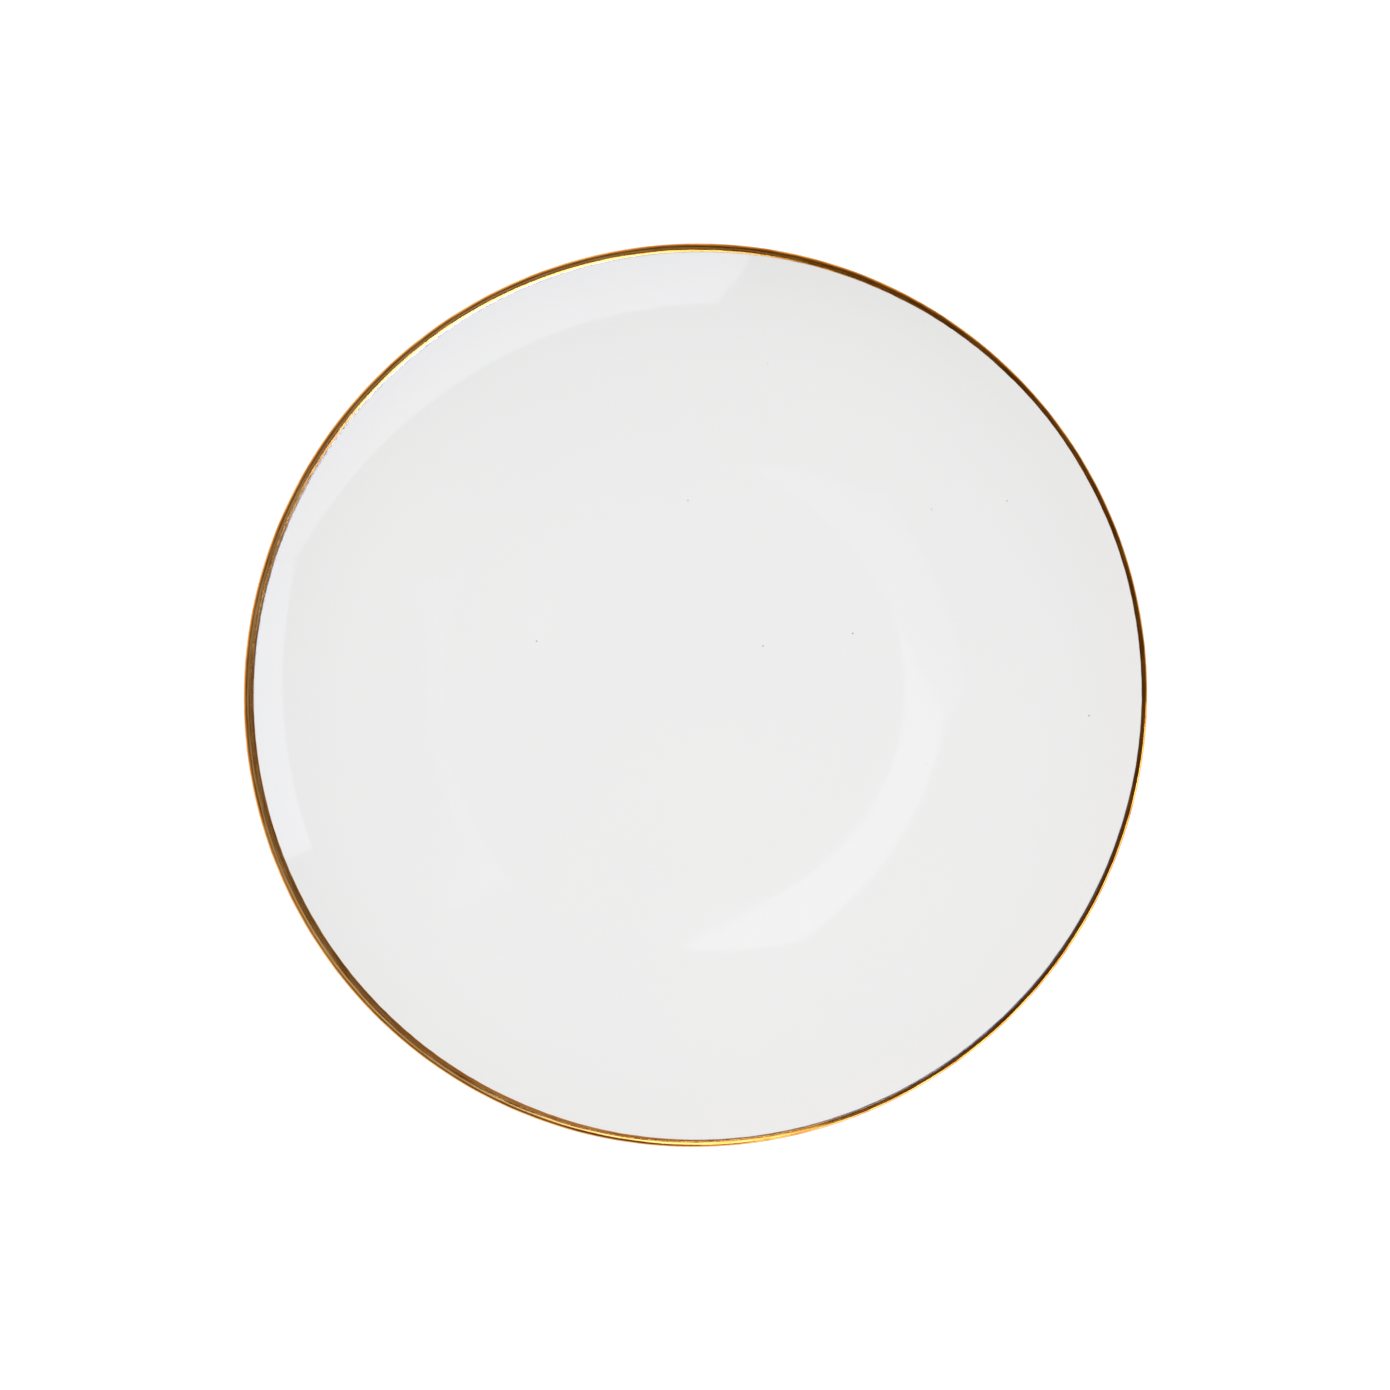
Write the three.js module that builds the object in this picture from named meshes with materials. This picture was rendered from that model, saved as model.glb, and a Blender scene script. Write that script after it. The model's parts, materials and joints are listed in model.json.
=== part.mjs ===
// A rimless (coupe) bone-china dinner plate with a gilded edge.
//
// The plate is made as a pottery makes it: one fired clay body with its foot ring, a glassy glaze fused
// over all of the body but the foot's standing face, and a gold line painted over the glaze at the edge.
// The standing face is bare, so the glaze is two skins: one inside the foot ring and one outside it.
//
// Millimetres, +Z up. The origin is the centre of the circle that the foot ring stands on.

import * as THREE from 'three';

// Driving dimensions. Slopes are in degrees from level.
const plateRadius = 135;          // to the outside of the gold
const wellRadius = 61;            // the flat middle of the face
const wellEdgeRadius = 82.5;      // where the well's edge has turned into the shoulder
const wellEdgeSlope = 10;
const shoulderRadius = 104;       // where the shoulder starts to curl up into the rim
const shoulderSlope = 12.5;
const rimSlope = 29;              // where the rim meets the lip
const wellThickness = 4;          // of the fired clay
const lipNoseRadius = 0.8;        // the outer rounding of the lip, in the fired clay
const lipRollRadius = 1.2;        // the wider rounding between the nose and the face
const glazeThickness = 0.2;
const goldThickness = 0.1;

// Foot ring
const footRadius = 76;            // the middle of the standing face
const footLandWidth = 2;          // of the flat standing face
const footHeight = 3.3;           // from the standing face to the underside inside the ring
const footWallSlope = 74;
const footCornerRadius = 0.7;
const footFilletRadius = 1.8;

// Gold line: its inner edge is a circle set a little to one side, as a hand on a banding wheel leaves it
const goldInnerRadius = 132.65;
const goldInnerCentre = new THREE.Vector2(0.5, -0.1);
const goldUndersidePoint = 1;     // the lip point that the gold starts from, counted from the underside

// Steps round the axis, and along each stretch of the section
const aroundSteps = 64;
const wellEdgeSteps = 4;
const shoulderSteps = 2;
const rimSteps = 3;
const noseSteps = 6;
const rollSteps = 2;
const cornerSteps = 2;
const filletSteps = 3;

// A section lies in the half-plane of x = distance from the axis and y = height. The clay's outline
// runs anticlockwise, from the axis under the plate to the axis over it, with the clay on its left.

const radians = THREE.MathUtils.degToRad;
const point = (x, y) => new THREE.Vector2(x, y);
const heading = (degrees) => point(Math.cos(radians(degrees)), Math.sin(radians(degrees)));

/** Points on an arc about a centre, from one direction to another. */
function arc(centre, radius, from, to, steps) {
  return Array.from({ length: steps + 1 }, (_, i) =>
    heading(from + ((to - from) * i) / steps).multiplyScalar(radius).add(centre));
}

/** An upward-curling arc from a start point and slope to a given distance from the axis and slope. */
function curl(start, startSlope, endX, endSlope, steps) {
  const radius = (endX - start.x) / (Math.sin(radians(endSlope)) - Math.sin(radians(startSlope)));
  const centre = heading(startSlope + 90).multiplyScalar(radius).add(start);
  return arc(centre, radius, startSlope - 90, endSlope - 90, steps);
}

/** Where a line through a, along the slope given, meets another through b. */
function meet(a, slopeA, b, slopeB) {
  const alongA = heading(slopeA);
  const alongB = heading(slopeB);
  const reach = b.clone().sub(a).cross(alongB) / alongA.cross(alongB);
  return a.clone().addScaledVector(alongA, reach);
}

/** The arc that rounds off a corner between two straight stretches. */
function roundCorner(before, corner, after, radius, steps) {
  const back = before.clone().sub(corner).normalize();
  const ahead = after.clone().sub(corner).normalize();
  const halfAngle = Math.acos(back.dot(ahead)) / 2;
  const inwards = back.clone().add(ahead).normalize();
  const centre = corner.clone().addScaledVector(inwards, radius / Math.sin(halfAngle));
  const from = corner.clone().addScaledVector(back, radius / Math.tan(halfAngle)).sub(centre).angle();
  const to = corner.clone().addScaledVector(ahead, radius / Math.tan(halfAngle)).sub(centre).angle();
  const turn = THREE.MathUtils.euclideanModulo(to - from + Math.PI, 2 * Math.PI) - Math.PI;
  const degrees = THREE.MathUtils.radToDeg;
  return arc(centre, radius, degrees(from), degrees(from + turn), steps);
}

/** The outline moved outwards, with each straight stretch kept parallel to itself. */
function offset(outline, distance) {
  return outline.map((here, i) => {
    const arriving = here.clone().sub(outline[i - 1] ?? here).normalize();
    const leaving = (outline[i + 1] ?? here).clone().sub(here).normalize();
    const sum = arriving.add(leaving);
    const mitre = i > 0 && i < outline.length - 1 ? sum.length() / 2 : 1;
    const outwards = point(sum.y, -sum.x).normalize();
    return here.clone().addScaledVector(outwards, distance / mitre);
  });
}

/** The top of the clay, from the axis out to the lip. */
function faceOutline() {
  const wellHeight = footHeight + wellThickness;
  const noseX = plateRadius - goldThickness - glazeThickness - lipNoseRadius;
  const lipStartX = noseX + lipRollRadius * heading(rimSlope + 90).x;
  const wellEdge = curl(point(wellRadius, wellHeight), 0, wellEdgeRadius, wellEdgeSlope, wellEdgeSteps);
  const shoulder = curl(wellEdge.at(-1), wellEdgeSlope, shoulderRadius, shoulderSlope, shoulderSteps);
  const rim = curl(shoulder.at(-1), shoulderSlope, lipStartX, rimSlope, rimSteps);
  return [point(0, wellHeight), ...wellEdge, ...shoulder.slice(1), ...rim.slice(1)];
}

/** The bottom of the clay from the end of the well's edge out to the lip: the clay thins on the way. */
function undersideOutline(face) {
  const lipStartX = face.at(-1).x;
  const rollToNose = (lipRollRadius - lipNoseRadius) * Math.cos(radians(rimSlope));
  const lipThickness = lipRollRadius + lipNoseRadius - rollToNose;
  const unitBelow = offset(face.toReversed(), -1).toReversed();
  return face.map((above, i) => {
    const share = (above.x - footRadius) / (lipStartX - footRadius);
    const thickness = THREE.MathUtils.lerp(wellThickness, lipThickness, Math.max(share, 0));
    return above.clone().lerp(unitBelow[i], thickness);
  }).filter((_, i) => i > wellEdgeSteps);
}

/** The lip, from the underside round a tight nose and a wider roll to the face. */
function lipOutline(face) {
  const rollCentre = face.at(-1).clone().addScaledVector(heading(rimSlope + 90), -lipRollRadius);
  const noseCentre = rollCentre.clone().add(point(0, lipRollRadius - lipNoseRadius));
  const nose = arc(noseCentre, lipNoseRadius, rimSlope - 90, 90, noseSteps);
  const roll = arc(rollCentre, lipRollRadius, 90, rimSlope + 90, rollSteps);
  return [...nose, ...roll.slice(1)];
}

/** The foot ring's corners, sharp, and the rounded stretches that replace them. */
function footOutline(underside) {
  const cornerReach = footCornerRadius * Math.tan(radians(footWallSlope) / 2);
  const halfWidth = footLandWidth / 2 + cornerReach;
  const innerLand = point(footRadius - halfWidth, 0);
  const outerLand = point(footRadius + halfWidth, 0);
  const axis = point(0, footHeight);
  const innerTop = meet(axis, 0, innerLand, -footWallSlope);
  const outerTop = meet(outerLand, footWallSlope, underside[0], wellEdgeSlope);
  return {
    innerFillet: roundCorner(axis, innerTop, innerLand, footFilletRadius, filletSteps),
    innerCorner: roundCorner(innerTop, innerLand, outerLand, footCornerRadius, cornerSteps),
    outerCorner: roundCorner(innerLand, outerLand, outerTop, footCornerRadius, cornerSteps),
    outerFillet: roundCorner(outerLand, outerTop, underside[0], footFilletRadius, filletSteps),
  };
}

// The clay's outline, in the stretches that the skins follow
const face = faceOutline();
const underside = undersideOutline(face);
const lip = lipOutline(face);
const foot = footOutline(underside);

const recessStretch = [point(0, footHeight), ...foot.innerFillet, foot.innerCorner[0]];
const bareStretch = [...foot.innerCorner.slice(1), ...foot.outerCorner.slice(0, -1)];
const backStretch = [foot.outerCorner.at(-1), ...foot.outerFillet, ...underside];
const outerStretch = [...backStretch, ...lip, ...face.toReversed().slice(1)];

/** The solid of revolution of an outline that starts and ends on the axis. */
function revolve(outline) {
  return new THREE.LatheGeometry(outline, aroundSteps).rotateX(Math.PI / 2);
}

/**
 * The solid of revolution of a clockwise outline, with its triangles turned over. The clay is made this way,
 * so that its faces are cut along the same diagonals as the inner faces of the glaze that lies on them.
 */
function revolveClockwise(outline) {
  const geometry = revolve(outline);
  const corners = geometry.getIndex();
  for (let i = 0; i < corners.count; i += 3) {
    const first = corners.getX(i);
    corners.setX(i, corners.getX(i + 1));
    corners.setX(i + 1, first);
  }
  geometry.computeVertexNormals();
  return geometry;
}

/** A closed ring whose section changes on the way round; every section has as many points. */
function changingRing(sectionAt) {
  const positions = [];
  const indices = [];
  const count = sectionAt(0).length;
  for (let i = 0; i < aroundSteps; i += 1) {
    const angle = (2 * Math.PI * i) / aroundSteps;
    for (const { x, y } of sectionAt(angle)) {
      positions.push(x * Math.cos(angle), x * Math.sin(angle), y);
    }
    const here = i * count;
    const next = ((i + 1) % aroundSteps) * count;
    for (let j = 0; j < count; j += 1) {
      const k = (j + 1) % count;
      indices.push(here + j, next + j, next + k);
      indices.push(here + j, next + k, here + k);
    }
  }
  const geometry = new THREE.BufferGeometry();
  geometry.setAttribute('position', new THREE.Float32BufferAttribute(positions, 3));
  geometry.setIndex(indices);
  geometry.computeVertexNormals();
  return geometry;
}

/** How far the gold's inner edge is from the axis, in a direction. */
function goldEdgeAt(angle) {
  const ahead = goldInnerCentre.dot(point(Math.cos(angle), Math.sin(angle)));
  const across = goldInnerCentre.length() ** 2 - ahead ** 2;
  return ahead + Math.sqrt(goldInnerRadius ** 2 - across);
}

/** The gold's section: round the lip, and in over the face as far as its edge lies in that direction. */
function goldSection(angle) {
  const first = backStretch.length + goldUndersidePoint;
  const last = backStretch.length + lip.length - 1;
  const [under, over] = [glazeThickness, glazeThickness + goldThickness].map((distance) => {
    const surface = offset(outerStretch, distance);
    const [lipEnd, facePoint] = surface.slice(last, last + 2);
    const share = (lipEnd.x - goldEdgeAt(angle)) / (lipEnd.x - facePoint.x);
    return [...surface.slice(first, last + 1), lipEnd.clone().lerp(facePoint, share)];
  });
  return [...over, ...under.toReversed()];
}

const bodyMaterial = new THREE.MeshStandardMaterial({ color: 0xefeae0, roughness: 0.7, metalness: 0 });
const glazeMaterial = new THREE.MeshStandardMaterial({ color: 0xf7f6f2, roughness: 0.1, metalness: 0 });
const goldMaterial = new THREE.MeshStandardMaterial({ color: 0xb9803a, roughness: 0.3, metalness: 1 });

/** The fired clay: the well, shoulder, rim and foot ring are one piece. */
function chinaBody() {
  return revolveClockwise([...recessStretch, ...bareStretch, ...outerStretch].toReversed());
}

/** The glaze over the face, the lip, the back and the outer side of the foot ring. */
function glazeCoat() {
  return revolve([...outerStretch.toReversed(), ...offset(outerStretch, glazeThickness)]);
}

/** The glaze on the underside inside the foot ring. */
function footRecessGlaze() {
  return revolve([...offset(recessStretch, glazeThickness), ...recessStretch.toReversed()]);
}

const pieces = [
  ['china_body', chinaBody(), bodyMaterial],
  ['glaze_coat', glazeCoat(), glazeMaterial],
  ['foot_recess_glaze', footRecessGlaze(), glazeMaterial],
  ['gold_band', changingRing(goldSection), goldMaterial],
];

const plate = new THREE.Group();
plate.name = 'dinner_plate';
for (const [name, geometry, material] of pieces) {
  const mesh = new THREE.Mesh(geometry, material);
  mesh.name = name;
  plate.add(mesh);
}

export default plate;
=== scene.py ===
"""The looks of a gilded bone-china dinner plate, seen from straight above on a pale studio floor."""

import json
import math

import bpy
import numpy as np
from mathutils import Matrix, Vector, noise


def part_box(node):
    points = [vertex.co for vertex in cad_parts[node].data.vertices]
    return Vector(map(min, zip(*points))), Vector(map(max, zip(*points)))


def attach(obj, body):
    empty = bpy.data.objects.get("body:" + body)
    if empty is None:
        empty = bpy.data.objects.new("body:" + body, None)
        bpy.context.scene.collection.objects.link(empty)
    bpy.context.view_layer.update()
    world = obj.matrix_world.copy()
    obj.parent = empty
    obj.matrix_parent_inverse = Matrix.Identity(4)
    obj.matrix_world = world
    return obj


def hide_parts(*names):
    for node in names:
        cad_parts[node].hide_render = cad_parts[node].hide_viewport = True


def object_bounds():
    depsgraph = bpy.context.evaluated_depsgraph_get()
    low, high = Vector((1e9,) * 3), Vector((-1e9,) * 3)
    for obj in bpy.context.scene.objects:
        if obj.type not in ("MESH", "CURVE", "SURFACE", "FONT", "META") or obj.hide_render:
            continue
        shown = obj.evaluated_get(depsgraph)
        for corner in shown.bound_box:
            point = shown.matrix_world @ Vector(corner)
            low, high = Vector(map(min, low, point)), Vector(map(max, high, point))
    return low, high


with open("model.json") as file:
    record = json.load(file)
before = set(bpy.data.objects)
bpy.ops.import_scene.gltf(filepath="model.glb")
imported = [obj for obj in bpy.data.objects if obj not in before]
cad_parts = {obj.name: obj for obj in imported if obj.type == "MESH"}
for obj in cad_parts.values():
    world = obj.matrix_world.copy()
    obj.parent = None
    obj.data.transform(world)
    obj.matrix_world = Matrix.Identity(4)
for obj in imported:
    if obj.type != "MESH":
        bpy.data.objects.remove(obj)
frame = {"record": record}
cad_low, cad_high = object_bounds()

MM = 0.001
UP = Vector((0, 0, 1))

# ---------------------------------------------------------------- sizes, from the frame

mounts = {m["name"]: m["pos_m"] for m in frame["record"]["mounts"]}
plate_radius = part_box("gold_band")[1].x
foot_radius = mounts["foot_face"][0]
well_height = mounts["well_face"][2]
recess_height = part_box("foot_recess_glaze")[1].z
clay_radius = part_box("china_body")[1].x
glaze_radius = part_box("glaze_coat")[1].x
glaze_thickness = glaze_radius - clay_radius
gold_thickness = plate_radius - glaze_radius

# ---------------------------------------------------------------- the section

# The face's slope in degrees at shares of the plate's radius; between them the slope changes evenly.
FACE_SLOPES = ((0.0, 0.0), (0.40, 0.0), (0.48, 4.0), (0.56, 7.2), (0.61, 10.0), (0.72, 11.0),
               (0.78, 12.5), (0.86, 18.0), (0.90, 21.5), (0.93, 25.5), (0.98, 29.0), (1.0, 29.0))
FACE_STEP = 1.6 * MM
WELL_WALL = 4.0 * MM            # clay under the well
WELL_EDGE = 0.555               # where the wall starts to thin outwards, as a share of the radius
UNDERSIDE_START = 0.615         # where the underside leaves the foot's fillet, as a share of the radius

LIP_NOSE = 0.8 * MM             # the lip's outer rounding, in the clay
LIP_ROLL = 1.9 * MM             # the wider rounding between the nose and the face
NOSE_STEPS = 16
ROLL_STEPS = 6

FOOT_LAND = 2.0 * MM            # the flat standing face's width
FOOT_CORNER = 0.7 * MM
FOOT_FILLET = 1.8 * MM
FOOT_WALL_SLOPE = 74.0
CORNER_STEPS = 6
FILLET_STEPS = 8
RECESS_STEPS = 12


def heading(degrees):
    return np.array([math.cos(math.radians(degrees)), math.sin(math.radians(degrees))])


def arc(centre, radius, start, end, steps):
    """Points on an arc about a centre, from one direction to another, in degrees."""
    return [centre + radius * heading(start + (end - start) * i / steps) for i in range(steps + 1)]


def face_slope(x):
    shares, slopes = zip(*FACE_SLOPES)
    return np.interp(x / plate_radius, shares, slopes)


def face_points():
    """The clay's top from the axis to where it rolls over to the lip, and its slope at each point."""
    slope = FACE_SLOPES[-1][1]
    end = clay_radius - LIP_NOSE - LIP_ROLL * math.sin(math.radians(slope))
    xs = np.linspace(0, end, round(end / FACE_STEP) + 1)
    middle_slopes = np.radians(face_slope((xs[1:] + xs[:-1]) / 2))
    rise = np.concatenate([[0], np.cumsum(np.diff(xs) * np.tan(middle_slopes))])
    return np.stack([xs, well_height - glaze_thickness + rise], 1), face_slope(xs)


def lip_points(face_end, slope):
    """The clay's lip, from the underside round a tight nose and a wider roll to the face's end."""
    roll_centre = face_end - LIP_ROLL * heading(90 + slope)
    nose_centre = roll_centre + (LIP_ROLL - LIP_NOSE) * heading(90)
    nose = arc(nose_centre, LIP_NOSE, slope - 90, 90, NOSE_STEPS)
    roll = arc(roll_centre, LIP_ROLL, 90, 90 + slope, ROLL_STEPS)
    return nose + roll[1:]


def underside_points(face, slopes):
    """The clay's bottom from the foot's fillet to the lip: it lies under the face and thins outwards."""
    lip_wall = LIP_ROLL + LIP_NOSE - (LIP_ROLL - LIP_NOSE) * math.cos(math.radians(slopes[-1]))
    thinning_start = WELL_EDGE * plate_radius
    points = []
    for above, slope in zip(face, slopes):
        if above[0] >= UNDERSIDE_START * plate_radius:
            share = (above[0] - thinning_start) / (face[-1][0] - thinning_start)
            wall = WELL_WALL + (lip_wall - WELL_WALL) * share
            points.append(above + wall * heading(slope - 90))
    return points


def meet(a, slope_a, b, slope_b):
    """Where a line through a meets another through b."""
    along_a, along_b = heading(slope_a), heading(slope_b)
    gap = b - a
    turn = along_a[0] * along_b[1] - along_a[1] * along_b[0]
    reach = (gap[0] * along_b[1] - gap[1] * along_b[0]) / turn
    return a + reach * along_a


def round_corner(before, corner, after, radius, steps):
    """The arc that rounds off a corner between two straight stretches."""
    back = (before - corner) / np.linalg.norm(before - corner)
    ahead = (after - corner) / np.linalg.norm(after - corner)
    half = math.acos(back @ ahead) / 2
    inwards = (back + ahead) / np.linalg.norm(back + ahead)
    centre = corner + inwards * radius / math.sin(half)
    touches = [corner + way * radius / math.tan(half) - centre for way in (back, ahead)]
    start, end = (math.degrees(math.atan2(t[1], t[0])) for t in touches)
    turn = (end - start + 180) % 360 - 180
    return arc(centre, radius, start, start + turn, steps)


def offset(outline, distance):
    """The outline moved outwards by a distance; the clay is on its left."""
    moved = []
    for i, here in enumerate(outline):
        before = outline[max(i - 1, 0)]
        after = outline[min(i + 1, len(outline) - 1)]
        way = (after - before) / np.linalg.norm(after - before)
        moved.append(here + distance * np.array([way[1], -way[0]]))
    return moved


def foot_points(under_start):
    """The foot ring: the recess with its inner fillet, the standing face, and the outer wall's fillet."""
    corner_reach = FOOT_CORNER * math.tan(math.radians(FOOT_WALL_SLOPE / 2))
    half_width = FOOT_LAND / 2 + corner_reach
    inner_land = np.array([foot_radius - half_width, 0.0])
    outer_land = np.array([foot_radius + half_width, 0.0])
    axis = np.array([0.0, recess_height])
    inner_top = meet(axis, 0, inner_land, -FOOT_WALL_SLOPE)
    outer_top = meet(outer_land, FOOT_WALL_SLOPE, under_start, face_slope(under_start[0]))
    inner_fillet = round_corner(axis, inner_top, inner_land, FOOT_FILLET, FILLET_STEPS)
    inner_corner = round_corner(inner_top, inner_land, outer_land, FOOT_CORNER, CORNER_STEPS)
    outer_corner = round_corner(inner_land, outer_land, outer_top, FOOT_CORNER, CORNER_STEPS)
    outer_fillet = round_corner(outer_land, outer_top, under_start, FOOT_FILLET, FILLET_STEPS)
    flat = [np.array([x, recess_height]) for x in np.linspace(0, inner_fillet[0][0], RECESS_STEPS)[:-1]]
    recess = flat + inner_fillet + [inner_corner[0]]
    bare = inner_corner[1:] + outer_corner[:-1]
    return recess, bare, [outer_corner[-1]] + outer_fillet


def clay_outline():
    """The clay's outline, anticlockwise from the axis below to the axis above, in four stretches."""
    face, slopes = face_points()
    under = underside_points(face, slopes)
    recess, bare, foot_wall = foot_points(under[0])
    lip = lip_points(face[-1], slopes[-1])
    back = foot_wall + under
    front = lip + list(face[::-1][1:])
    return recess, bare, back, front


recess, bare, back, front = clay_outline()
outer = back + front


# ---------------------------------------------------------------- the shape of a real, fired plate

OVALITY = 0.37 * MM             # how far the firing has drawn the circle out, at the rim
OVAL_HEADING = math.radians(45)
WARP = 0.05 * MM                # slow waves left in the rim's height
WARP_WAVES = ((3, 1.0, 0.6), (5, 0.6, 3.7), (8, 0.4, 1.9))  # waves in a turn, share of the warp, start


def fired(points):
    """Points with the small faults that firing leaves: a slightly oval outline and a slow wave."""
    xy = points[:, :2]
    radius = np.linalg.norm(xy, axis=1)
    angle = np.arctan2(xy[:, 1], xy[:, 0])
    share = np.clip((radius - foot_radius) / (plate_radius - foot_radius), 0, 1)
    stretch = OVALITY * np.cos(2 * (angle - OVAL_HEADING)) * share / np.maximum(radius, MM)
    wave = sum(size * np.sin(count * angle + start) for count, size, start in WARP_WAVES)
    fired_points = points.copy()
    fired_points[:, :2] = xy * (1 + stretch)[:, None]
    fired_points[:, 2] += WARP * wave * share ** 2
    return fired_points


# ---------------------------------------------------------------- meshes

AROUND = 336                    # keeps the glaze, the largest piece, under 200,000 triangles
GOLD_AROUND = 1440              # fine enough for the ragged inner edge


def sweep(section_at, around, closed_on_axis):
    """The points and faces of a section swept round the axis. If it starts and ends on the axis, it
    gets one point for each end."""
    angles = [2 * math.pi * i / around for i in range(around)]
    loops = [section_at(a) for a in angles]
    count = len(loops[0])
    rows = range(1, count - 1) if closed_on_axis else range(count)
    points = [(p[0] * math.cos(a), p[0] * math.sin(a), p[1])
              for a, loop in zip(angles, loops) for p in (loop[j] for j in rows)]
    width = len(rows)
    faces = []
    for i in range(around):
        here, there = i * width, (i + 1) % around * width
        for j in range(width - 1 if closed_on_axis else width):
            k = (j + 1) % width
            faces.append((here + j, there + j, there + k, here + k))
    if closed_on_axis:
        for j, end in ((0, loops[0][0]), (width - 1, loops[0][-1])):
            pole = len(points)
            points.append((0.0, 0.0, end[1]))
            for i in range(around):
                here, there = i * width + j, (i + 1) % around * width + j
                faces.append((pole, there, here) if j == 0 else (pole, here, there))
    return points, faces


def ring_mesh(name, section_at, around, closed_on_axis, material):
    """A solid swept round the axis, with the faults of firing."""
    points, faces = sweep(section_at, around, closed_on_axis)
    mesh = bpy.data.meshes.new(name)
    mesh.from_pydata(fired(np.array(points)).tolist(), [], faces)
    mesh.validate()
    mesh.update()
    mesh.shade_smooth()
    mesh.materials.append(material)
    obj = bpy.data.objects.new(name, mesh)
    bpy.context.scene.collection.objects.link(obj)
    return obj


# ---------------------------------------------------------------- nodes

def set_inputs(tree, node, inputs):
    """Links the inputs that are given as sockets and sets the others."""
    for key, value in inputs.items():
        if isinstance(value, bpy.types.NodeSocket):
            tree.links.new(value, node.inputs[key])
        else:
            node.inputs[key].default_value = value


def add_node(tree, kind, inputs=None, **settings):
    """A node with its settings and its input values or links."""
    node = tree.nodes.new(kind)
    for key, value in settings.items():
        setattr(node, key, value)
    set_inputs(tree, node, inputs or {})
    return node


def math_node(tree, operation, *values):
    return add_node(tree, "ShaderNodeMath", dict(enumerate(values)), operation=operation).outputs[0]


def vector_node(tree, operation, *vectors):
    return add_node(tree, "ShaderNodeVectorMath", dict(enumerate(vectors)), operation=operation).outputs


def ramp(tree, factor, stops):
    """A colour ramp through (position, grey) stops."""
    node = add_node(tree, "ShaderNodeValToRGB", {"Fac": factor})
    elements = node.color_ramp.elements
    while len(elements) < len(stops):
        elements.new(0.5)
    for element, (position, grey) in zip(elements, stops):
        element.position = position
        element.color = (grey, grey, grey, 1)
    return node.outputs["Color"]


def span(tree, value, start, end, low=0.0, high=1.0):
    """The value's place between start and end, laid out from low to high."""
    inputs = {"Value": value, "From Min": start, "From Max": end, "To Min": low, "To Max": high}
    return add_node(tree, "ShaderNodeMapRange", inputs).outputs[0]


def noise_texture(tree, vector, scale, detail, roughness):
    inputs = {"Vector": vector, "Scale": scale, "Detail": detail, "Roughness": roughness}
    return add_node(tree, "ShaderNodeTexNoise", inputs).outputs["Fac"]


def mix_colours(tree, factor, a, b):
    """From colour a to colour b, each a socket or red, green and blue."""
    first, second = (c if isinstance(c, bpy.types.NodeSocket) else (*c, 1) for c in (a, b))
    return add_node(tree, "ShaderNodeMix", {0: factor, 6: first, 7: second}, data_type="RGBA").outputs[2]


def bump(tree, height, depth):
    inputs = {"Height": height, "Strength": 1.0, "Distance": depth}
    return add_node(tree, "ShaderNodeBump", inputs).outputs[0]


def distance_from(tree, place, centre):
    """The distance of each point, seen from above, from a centre."""
    shifted = vector_node(tree, "SUBTRACT", place, (*centre, 0.0))[0]
    flat = vector_node(tree, "MULTIPLY", shifted, (1, 1, 0))[0]
    return vector_node(tree, "LENGTH", flat)["Value"]


def sideways(tree, place, azimuth):
    """How far each point lies from the axis towards an azimuth."""
    out, _ = compass(azimuth)
    return vector_node(tree, "DOT_PRODUCT", place, out)["Value"]


def compass(azimuth):
    """The level directions towards an azimuth and square to it, leftwards."""
    turn = math.radians(azimuth)
    return Vector((math.cos(turn), math.sin(turn), 0)), Vector((-math.sin(turn), math.cos(turn), 0))


# ---------------------------------------------------------------- materials

# Noise textures: features to a metre, detail, roughness. The brush strokes' scales are below.
CHINA_CLOUDS = (9.0, 3.0, 0.5)
GLAZE_GLOSS = (30.0, 2.0, 0.5)
GLAZE_PEEL = (120.0, 1.0, 0.5)
CLAY_GRAIN = (1800.0, 3.0, 0.7)
CLAY_STAINS = (60.0, 4.0, 0.5)
GOLD_STROKES = (1.0, 4.0, 0.7)
GOLD_PATCHES = (55.0, 3.0, 0.5)
FLOOR_CLOUDS = (3.0, 2.0, 0.5)
NOISE_RANGE = (0.3, 0.7)        # where nearly all of a noise texture's values lie

# What is made of them: (value, share) stops.
CLOUD_STOPS = ((0.35, 0.0), (0.65, 1.0))
STAIN_STOPS = ((0.5, 0.0), (0.75, 0.5))
STROKE_STOPS = ((0.34, 0.0), (0.66, 1.0))
PATCH_STOPS = ((0.5, 0.0), (0.72, 0.6))

# Colours, as red, green and blue.
CHINA_TONES = (0.881, 0.881, 0.881), (0.889, 0.888, 0.886)
SPECK_TONE = (0.20, 0.16, 0.12)
CLAY_TONES = (0.80, 0.77, 0.71), (0.90, 0.88, 0.83)
STAIN_TONE = (0.52, 0.49, 0.45)
# Painted light and shade: the next two pairs are the gold's tones on its darker side and on its lighter
# side. They stand in for the darker and brighter reflections that the band shows there.
SHADED_GOLD_TONES = (0.40, 0.14, 0.01), (0.86, 0.40, 0.06)  # between the brush strokes and on them
LIT_GOLD_TONES = (0.70, 0.31, 0.06), (1.0, 0.62, 0.22)
PATCH_TONE = (0.66, 0.30, 0.07)
SHADED_AND_LIT_FILM_TONES = (0.20, 0.18, 0.22), (0.46, 0.44, 0.48)  # the gold's margin, on the side painted darker and on the side painted lighter
FLOOR_TONES = (0.90, 0.90, 0.90), (0.93, 0.93, 0.93)
WHITE = (1, 1, 1, 1)

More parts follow.
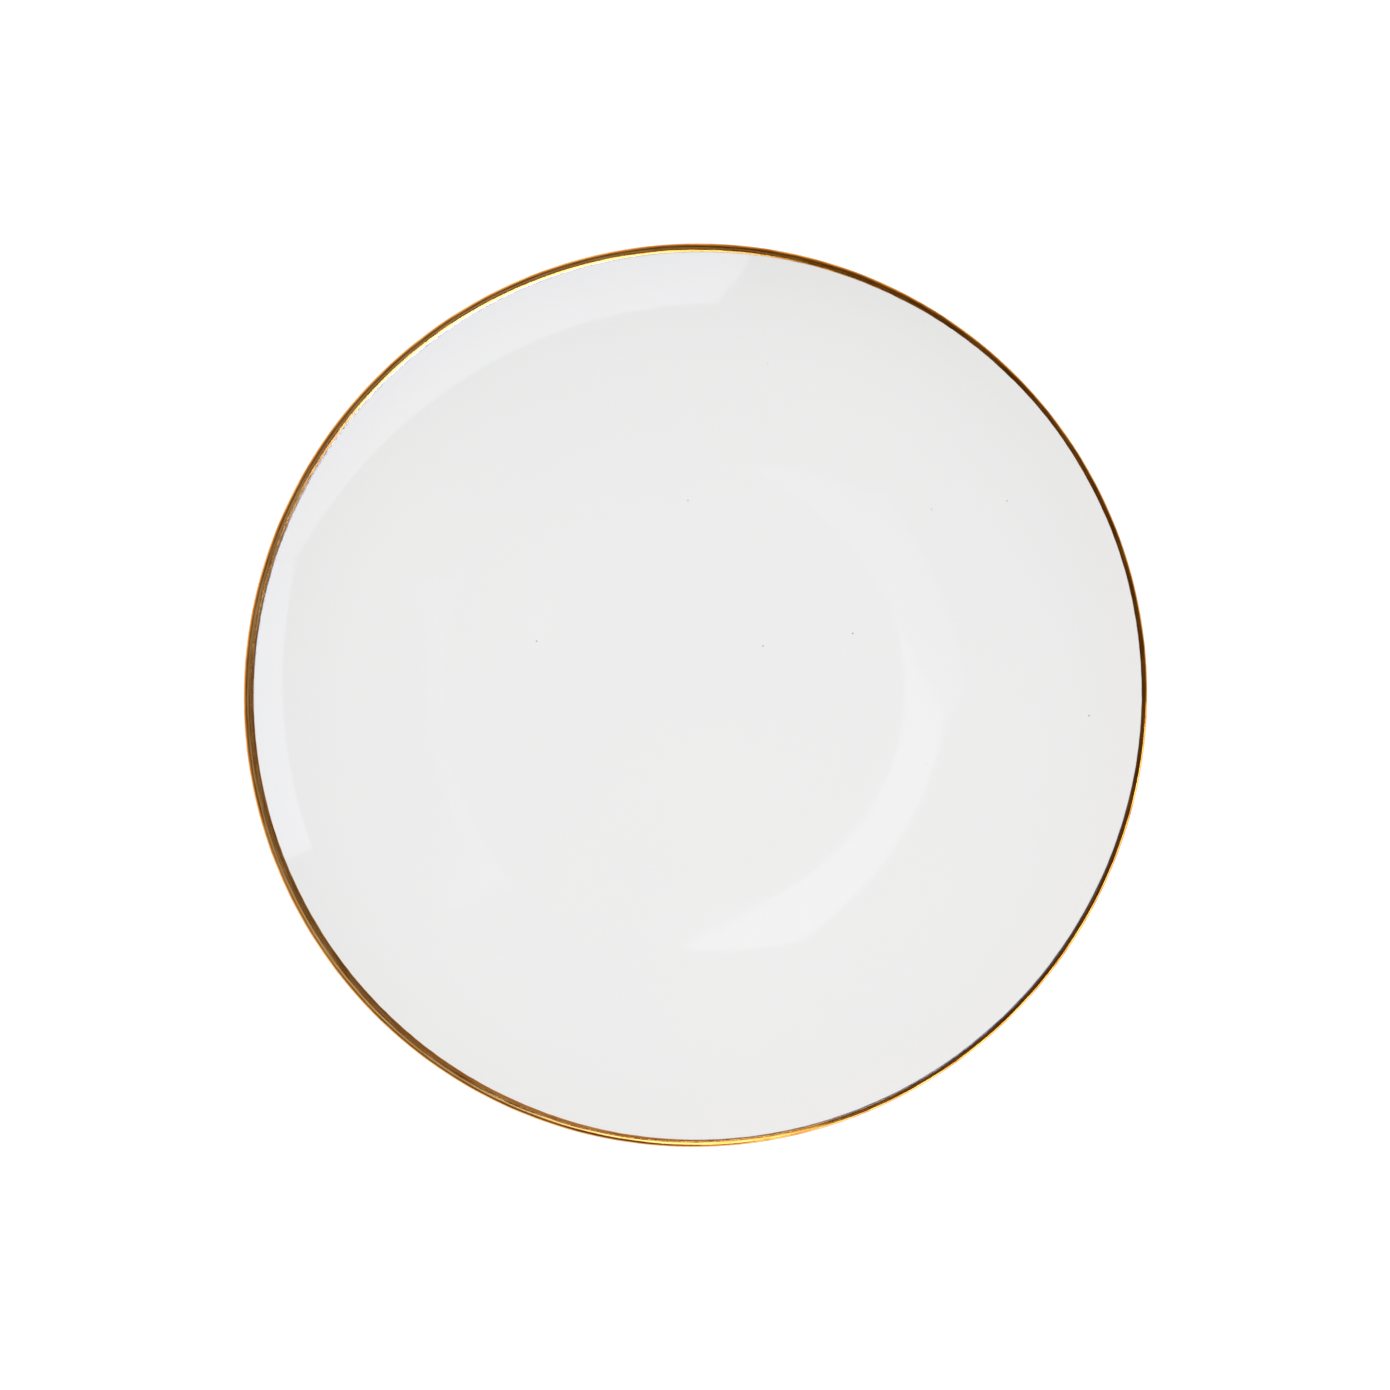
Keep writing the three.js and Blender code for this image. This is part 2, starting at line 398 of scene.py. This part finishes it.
SPECK_CELLS = 42.0              # to a metre; a share of the cells has a speck each
SPECK_SHARE = 0.14
SPECK_STOPS = ((0.006, 1.0), (0.013, 0.0))  # from a speck's middle to its rim, in cells
GLAZE_IOR = 1.5
GLAZE_ROUGHNESS = (0.03, 0.07)
PEEL_DEPTH = 0.01 * MM
CLAY_ROUGHNESS = 0.75
GRAIN_DEPTH = 0.04 * MM
GOLD_ROUGHNESS = (0.12, 0.24)
STROKE_DEPTH = 0.008 * MM
FILM_METALLIC = 0.8
FLOOR_ROUGHNESS = 0.9
FLOOR_GLOW = 0.25

GOLD_INNER = 0.9819             # the inner edge's radius, as a share of the plate's
GOLD_SHIFT = (0.76 * MM, -0.06 * MM)
GOLD_WAVERS = 3                 # slow swings of the brush in each turn of the wheel
GOLD_WAVER = 0.15 * MM
GOLD_WAVER_START = math.radians(45)
GOLD_RAGGED = 0.10 * MM
SLOW_RAGS = 4.0                 # the scales of the ragged edge's slow and fine noise
FINE_RAGS = 45.0
FINE_RAG_SHARE = 0.7
GOLD_MARGIN = 0.15 * MM         # where the gold thins to a film at its inner edge
GOLD_PAINTED_LIGHT_SIDE = 185            # the azimuth towards which the gold and its margin are painted lighter, as painted reflection; away from it they are painted darker, as painted shade
GOLD_PAINTED_LIGHT_SPAN = (-0.35, 0.5)    # from the darkest tones to the lightest, in plate radii towards that side
STROKES_ALONG = 110.0           # brush strokes to a metre, along the edge and across it
STROKES_ACROSS = 2600.0


def start_material(name):
    material = bpy.data.materials.new(name)
    material.use_nodes = True
    tree = material.node_tree
    shader = tree.nodes["Principled BSDF"]
    place = add_node(tree, "ShaderNodeTexCoord").outputs["Object"]
    return material, tree, shader, place


def specks(tree, place):
    """Tiny iron specks, most of them faint: a share of the cells of a grid has one each."""
    inputs = {"Vector": place, "Scale": SPECK_CELLS}
    cells = add_node(tree, "ShaderNodeTexVoronoi", inputs, voronoi_dimensions="2D")
    chance = add_node(tree, "ShaderNodeSeparateColor", {"Color": cells.outputs["Color"]}).outputs
    chosen = math_node(tree, "GREATER_THAN", chance[0], 1 - SPECK_SHARE)
    strength = math_node(tree, "MULTIPLY", chosen, chance[1])
    dot = ramp(tree, cells.outputs["Distance"], SPECK_STOPS)
    return math_node(tree, "MULTIPLY", dot, strength)


def glaze_material():
    """White china under a clear, glossy glaze with a hair of waviness."""
    material, tree, shader, place = start_material("clear_glaze_over_china")
    clouds = ramp(tree, noise_texture(tree, place, *CHINA_CLOUDS), CLOUD_STOPS)
    china = mix_colours(tree, clouds, *CHINA_TONES)
    gloss = noise_texture(tree, place, *GLAZE_GLOSS)
    peel = noise_texture(tree, place, *GLAZE_PEEL)
    set_inputs(tree, shader, {
        "Base Color": mix_colours(tree, specks(tree, place), china, SPECK_TONE),
        "Roughness": span(tree, gloss, *NOISE_RANGE, *GLAZE_ROUGHNESS),
        "Normal": bump(tree, peel, PEEL_DEPTH),
        "IOR": GLAZE_IOR,
    })
    return material


def clay_material():
    """Bare fired clay, fine-grained and a little scuffed."""
    material, tree, shader, place = start_material("bare_fired_clay")
    grain = noise_texture(tree, place, *CLAY_GRAIN)
    clay = mix_colours(tree, grain, *CLAY_TONES)
    stains = ramp(tree, noise_texture(tree, place, *CLAY_STAINS), STAIN_STOPS)
    set_inputs(tree, shader, {
        "Base Color": mix_colours(tree, stains, clay, STAIN_TONE),
        "Normal": bump(tree, grain, GRAIN_DEPTH),
        "Roughness": CLAY_ROUGHNESS,
    })
    return material


def brush_strokes(tree, place, x, y, z):
    """Fine lines along the edge: 1 on a stroke and 0 between two."""
    across = math_node(tree, "ADD", distance_from(tree, place, (0, 0)), z)
    stroke_place = add_node(tree, "ShaderNodeCombineXYZ", {
        "X": math_node(tree, "MULTIPLY", x, STROKES_ALONG),
        "Y": math_node(tree, "MULTIPLY", y, STROKES_ALONG),
        "Z": math_node(tree, "MULTIPLY", across, STROKES_ACROSS),
    }).outputs[0]
    return ramp(tree, noise_texture(tree, stroke_place, *GOLD_STROKES), STROKE_STOPS)


def gold_margin(tree, place, x, y):
    """0 at the gold's inner edge, 1 from where the gold has its full thickness."""
    angle = math_node(tree, "ARCTAN2", y, x)
    swing = math_node(tree, "MULTIPLY_ADD", angle, GOLD_WAVERS, GOLD_WAVER_START)
    waver = math_node(tree, "MULTIPLY", math_node(tree, "COSINE", swing), GOLD_WAVER)
    inside = math_node(tree, "ADD", distance_from(tree, place, GOLD_SHIFT), waver)
    inner = GOLD_INNER * plate_radius
    return span(tree, inside, inner, inner + GOLD_MARGIN)


def gold_material():
    """Burnished gold with fine brush strokes along the edge; at its inner margin it thins to a film. The
    gold and its margin are painted lighter towards one side of the plate and darker towards the other, as
    painted reflection and painted shade.
    """
    material, tree, shader, place = start_material("burnished_gold")
    x, y, z = add_node(tree, "ShaderNodeSeparateXYZ", {"Vector": place}).outputs
    strokes = brush_strokes(tree, place, x, y, z)
    # Painted light and shade: from here on, the gold and its margin film are lighter towards one side of
    # the plate and darker towards the other.
    painted_light_span = [share * plate_radius for share in GOLD_PAINTED_LIGHT_SPAN]
    painted_light_share = span(tree, sideways(tree, place, GOLD_PAINTED_LIGHT_SIDE), *painted_light_span)
    shaded_gold = mix_colours(tree, strokes, *SHADED_GOLD_TONES)
    lit_gold = mix_colours(tree, strokes, *LIT_GOLD_TONES)
    patches = ramp(tree, noise_texture(tree, place, *GOLD_PATCHES), PATCH_STOPS)
    gold = mix_colours(tree, patches, mix_colours(tree, painted_light_share, shaded_gold, lit_gold), PATCH_TONE)
    film = mix_colours(tree, painted_light_share, *SHADED_AND_LIT_FILM_TONES)
    margin = gold_margin(tree, place, x, y)
    set_inputs(tree, shader, {
        "Base Color": mix_colours(tree, margin, film, gold),
        "Metallic": span(tree, margin, 0.0, 1.0, FILM_METALLIC, 1.0),
        "Roughness": span(tree, strokes, 0.0, 1.0, *GOLD_ROUGHNESS),
        "Normal": bump(tree, strokes, STROKE_DEPTH),
    })
    return material


def floor_material():
    """A matt, pale floor that glows a little, so that it stays near white."""
    material, tree, shader, place = start_material("pale_floor")
    clouds = noise_texture(tree, place, *FLOOR_CLOUDS)
    set_inputs(tree, shader, {
        "Base Color": mix_colours(tree, clouds, *FLOOR_TONES),
        "Roughness": FLOOR_ROUGHNESS,
        "Specular IOR Level": 0.0,
        "Emission Color": WHITE,
        "Emission Strength": FLOOR_GLOW,
    })
    return material


# ---------------------------------------------------------------- the plate's pieces

GOLD_UNDER = 5                  # nose steps under the lip that stay bare of gold
GOLD_STEPS = 12                 # from the lip's top to the inner edge


def body_piece():
    outline = recess + bare + outer
    return ring_mesh("china_body_clay", lambda angle: outline, AROUND, True, clay_material())


def glaze_piece(material):
    outline = outer[::-1] + offset(outer, glaze_thickness)
    return ring_mesh("face_and_back_glaze", lambda angle: outline, AROUND, True, material)


def recess_glaze_piece(material):
    outline = offset(recess, glaze_thickness) + recess[::-1]
    return ring_mesh("recess_glaze", lambda angle: outline, AROUND, True, material)


def gold_edge(angle):
    """The radius of the gold's inner edge: a circle set off centre, a little ragged from the brush."""
    ahead = GOLD_SHIFT[0] * math.cos(angle) + GOLD_SHIFT[1] * math.sin(angle)
    way = Vector((math.cos(angle), math.sin(angle), 0))
    waver = GOLD_WAVER * math.cos(GOLD_WAVERS * angle + GOLD_WAVER_START)
    rags = noise.noise(way * SLOW_RAGS) + FINE_RAG_SHARE * noise.noise(way * FINE_RAGS)
    return GOLD_INNER * plate_radius + ahead - waver + GOLD_RAGGED * rags


def gold_piece():
    """The gold's section runs round the lip, and in over the face as far as its edge at that angle."""
    first = len(back) + GOLD_UNDER
    under, over = (np.array(offset(outer, distance)[first:])
                   for distance in (glaze_thickness, glaze_thickness + gold_thickness))
    top = NOSE_STEPS - GOLD_UNDER

    def skin(line, edge):
        """The line as far as the lip's top, then evenly along the face to the gold's edge."""
        xs = np.linspace(line[top][0], edge, GOLD_STEPS + 1)[1:]
        ys = np.interp(xs, line[:top - 1:-1, 0], line[:top - 1:-1, 1])
        return np.concatenate([line[:top + 1], np.stack([xs, ys], 1)])

    def section(angle):
        edge = gold_edge(angle)
        return np.concatenate([skin(over, edge), skin(under, edge)[::-1]])

    return ring_mesh("gilded_edge", section, GOLD_AROUND, False, gold_material())


# ---------------------------------------------------------------- the studio

CAMERA_DISTANCE = 1.3           # from the rim
FRAME_SHARE = 0.6506            # the plate's width as a share of the picture's
FRAME_OFFSET = (-0.13 * MM, 0.05 * MM)  # the camera stands a hair to the left of the plate's axis, and up
SENSOR = 36.0
FLOOR_SIZE = 14.0

# The dome that lights the scene is brighter overhead than at the horizon, and towards one azimuth.
DOME_LIGHT = (0.50, 1.25)
DOME_BRIGHT_SIDE = 100
DOME_TILT = 0.12
BACKDROP = (1.1, 1.1, 1.1)      # what the camera sees of it

# In reflections the dome is warm and dim: (height, grey) stops, and a glow low down towards one azimuth.
WARM = (1.0, 0.70, 0.45)
MIRRORED_STOPS = ((0.0, 0.70), (0.12, 0.55), (0.30, 0.12), (0.64, 0.10), (0.74, 0.22), (0.84, 0.10),
                  (1.0, 0.10))
GLOW_HEIGHTS = (0.78, 0.62)     # from nothing to the full glow
GLOW_SIDE = 140
GLOW_SPREAD = (-0.15, 0.5)
GLOW = 0.45

COOL = (0.88, 0.96, 1.2)        # the colour of every panel and card

# Two upright panels that the rim's glaze mirrors: azimuth, distance, sideways from, sideways to, middle
# height at each of these ends, width, lean towards the floor, radiance.
WALL_PANELS = {
    "front_panel": (288.0, 1.08, -0.46, 1.42, 1.38, 1.20, 1.2, 0.0, 1.25),
    "side_panel": (16.2, 1.31, -0.90, 0.124, 1.28, 1.28, 0.78, 0.0, 1.4),
}

# Level panels high overhead, a little off the vertical, that the well's rising edge mirrors: azimuth,
# nearest, farthest, sideways from, sideways to, radiance.
TOP_PANELS = {
    "top_panel": (160.0, 0.34, 1.08, -1.14, 0.30, 0.95),
    "top_side_panel": (8.0, 1.15, 1.55, -0.90, 1.00, 0.3),
    "top_dim_panel": (200.0, 0.45, 1.50, -0.55, 0.75, 0.35),
}
TOP_HEIGHT = 6.0

# For the gold's bright lines: a leaning card over the plate and a low strip beside it, measured like the
# wall panels, and level cards over the plate: from one end to the other, width, radiance.
LEANING_CARD = (298, 0.057, -0.033, 0.022, 0.174, 0.174, 0.05, 0.77, 5.5)
LOW_STRIP = (320, 0.60, -0.55, 0.45, 0.095, 0.095, 0.13, 0.0, 7.5)
LEVEL_CARDS = {
    "gold_front_card": ((-0.02, -0.10), (0.09, -0.40), 0.066, 3.2),
    "gold_left_card": ((-0.045, -0.18), (-0.155, -0.055), 0.12, 0.5),
    "gold_back_card": ((0.0, 0.13), (-0.14, -0.02), 0.10, 0.25),
}
CARD_HEIGHT = 0.20


def add_camera():
    data = bpy.data.cameras.new("camera")
    data.sensor_width = SENSOR
    width_seen = 2 * plate_radius / FRAME_SHARE
    data.lens = SENSOR * CAMERA_DISTANCE / width_seen
    camera = bpy.data.objects.new("camera", data)
    camera.location = (*FRAME_OFFSET, cad_high.z + CAMERA_DISTANCE)
    bpy.context.scene.collection.objects.link(camera)
    bpy.context.scene.camera = camera


def add_floor():
    mesh = bpy.data.meshes.new("studio_floor")
    half = FLOOR_SIZE / 2
    corners = [(-half, -half, 0), (half, -half, 0), (half, half, 0), (-half, half, 0)]
    mesh.from_pydata(corners, [], [(0, 1, 2, 3)])
    mesh.materials.append(floor_material())
    floor = bpy.data.objects.new("studio_floor", mesh)
    bpy.context.scene.collection.objects.link(floor)


def dome_light(tree, direction, height):
    """What lights the scene."""
    upwards = span(tree, height, 0.0, 1.0, *DOME_LIGHT)
    tilt = math_node(tree, "MULTIPLY", sideways(tree, direction, DOME_BRIGHT_SIDE), DOME_TILT)
    return math_node(tree, "ADD", upwards, tilt)


def dome_mirrored(tree, direction, height):
    """What the plate mirrors of the dome."""
    dim = ramp(tree, height, MIRRORED_STOPS)
    low = span(tree, height, *GLOW_HEIGHTS)
    glow = span(tree, sideways(tree, direction, GLOW_SIDE), *GLOW_SPREAD, 0.0, GLOW)
    grey = math_node(tree, "ADD", dim, math_node(tree, "MULTIPLY", low, glow))
    return mix_colours(tree, grey, (0, 0, 0), WARM)


def add_world():
    """A dome with one brightness for its light, another in reflections and a plain white backdrop."""
    world = bpy.data.worlds.new("studio")
    bpy.context.scene.world = world
    world.use_nodes = True
    tree = world.node_tree
    direction = add_node(tree, "ShaderNodeTexCoord").outputs["Generated"]
    height = add_node(tree, "ShaderNodeSeparateXYZ", {"Vector": direction}).outputs["Z"]
    light = dome_light(tree, direction, height)
    mirrored = dome_mirrored(tree, direction, height)
    ray = add_node(tree, "ShaderNodeLightPath").outputs
    dome = mix_colours(tree, ray["Is Glossy Ray"], light, mirrored)
    seen = mix_colours(tree, ray["Is Camera Ray"], dome, BACKDROP)
    set_inputs(tree, tree.nodes["Background"], {"Color": seen})


def add_panel(name, start, end, width, facing, radiance, seen_by):
    """A soft rectangular lamp, from one end to the other, that only one group of pieces reflects."""
    length = (end - start).length
    data = bpy.data.lights.new(name, "AREA")
    data.shape = "RECTANGLE"
    data.size = length
    data.size_y = width
    data.energy = radiance * length * width * math.pi
    data.color = COOL
    lamp = bpy.data.objects.new(name, data)
    lamp_x = (end - start).normalized()
    lamp_z = -(facing - lamp_x * facing.dot(lamp_x)).normalized()
    turn = Matrix((lamp_x, lamp_z.cross(lamp_x), lamp_z)).transposed().to_4x4()
    lamp.matrix_world = Matrix.Translation((start + end) / 2) @ turn
    lamp.visible_camera = False
    lamp.visible_diffuse = False
    lamp.light_linking.receiver_collection = seen_by
    bpy.context.scene.collection.objects.link(lamp)


def add_wall_panel(name, place, seen_by):
    """A panel across an azimuth, upright or leaning."""
    azimuth, distance, low, high, low_height, high_height, width, lean, radiance = place
    out, side = compass(azimuth)
    start = out * distance + side * low + UP * low_height
    end = out * distance + side * high + UP * high_height
    add_panel(name, start, end, width, -out - UP * lean, radiance, seen_by)


def add_top_panel(name, place, seen_by):
    """A level panel overhead."""
    azimuth, near, far, low, high, radiance = place
    out, side = compass(azimuth)
    middle = out * (near + far) / 2 + UP * TOP_HEIGHT
    add_panel(name, middle + side * low, middle + side * high, far - near, -UP, radiance, seen_by)


def add_level_card(name, place, seen_by):
    """A small level panel over the plate."""
    start, end, width, radiance = place
    start, end = (Vector((*spot, CARD_HEIGHT)) for spot in (start, end))
    add_panel(name, start, end, width, -UP, radiance, seen_by)


def add_lamps(china, gilding):
    """Panels for the china's reflections and cards for the gold's."""
    for name, place in WALL_PANELS.items():
        add_wall_panel(name, place, china)
    for name, place in TOP_PANELS.items():
        add_top_panel(name, place, china)
    add_wall_panel("gold_card", LEANING_CARD, gilding)
    for name, place in LEVEL_CARDS.items():
        add_level_card(name, place, gilding)
    add_wall_panel("gold_low_strip", LOW_STRIP, gilding)


def group(name, pieces):
    collection = bpy.data.collections.new(name)
    for piece in pieces:
        collection.objects.link(piece)
    return collection


def main():
    glaze = glaze_material()
    body = body_piece()
    coat = glaze_piece(glaze)
    recess_coat = recess_glaze_piece(glaze)
    gold = gold_piece()
    made = (
        (body, "china_body", "fired_clay"),
        (coat, "glaze_coat", "glaze"),
        (recess_coat, "foot_recess_glaze", "glaze"),
        (gold, "gold_band", "gold"),
    )
    for piece, node, slot in made:
        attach(piece, "root")
        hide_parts(node)
    add_floor()
    add_world()
    add_lamps(group("china", (body, coat, recess_coat)), group("gilding", (gold,)))
    add_camera()
    bpy.context.scene.view_settings.view_transform = "Standard"


main()
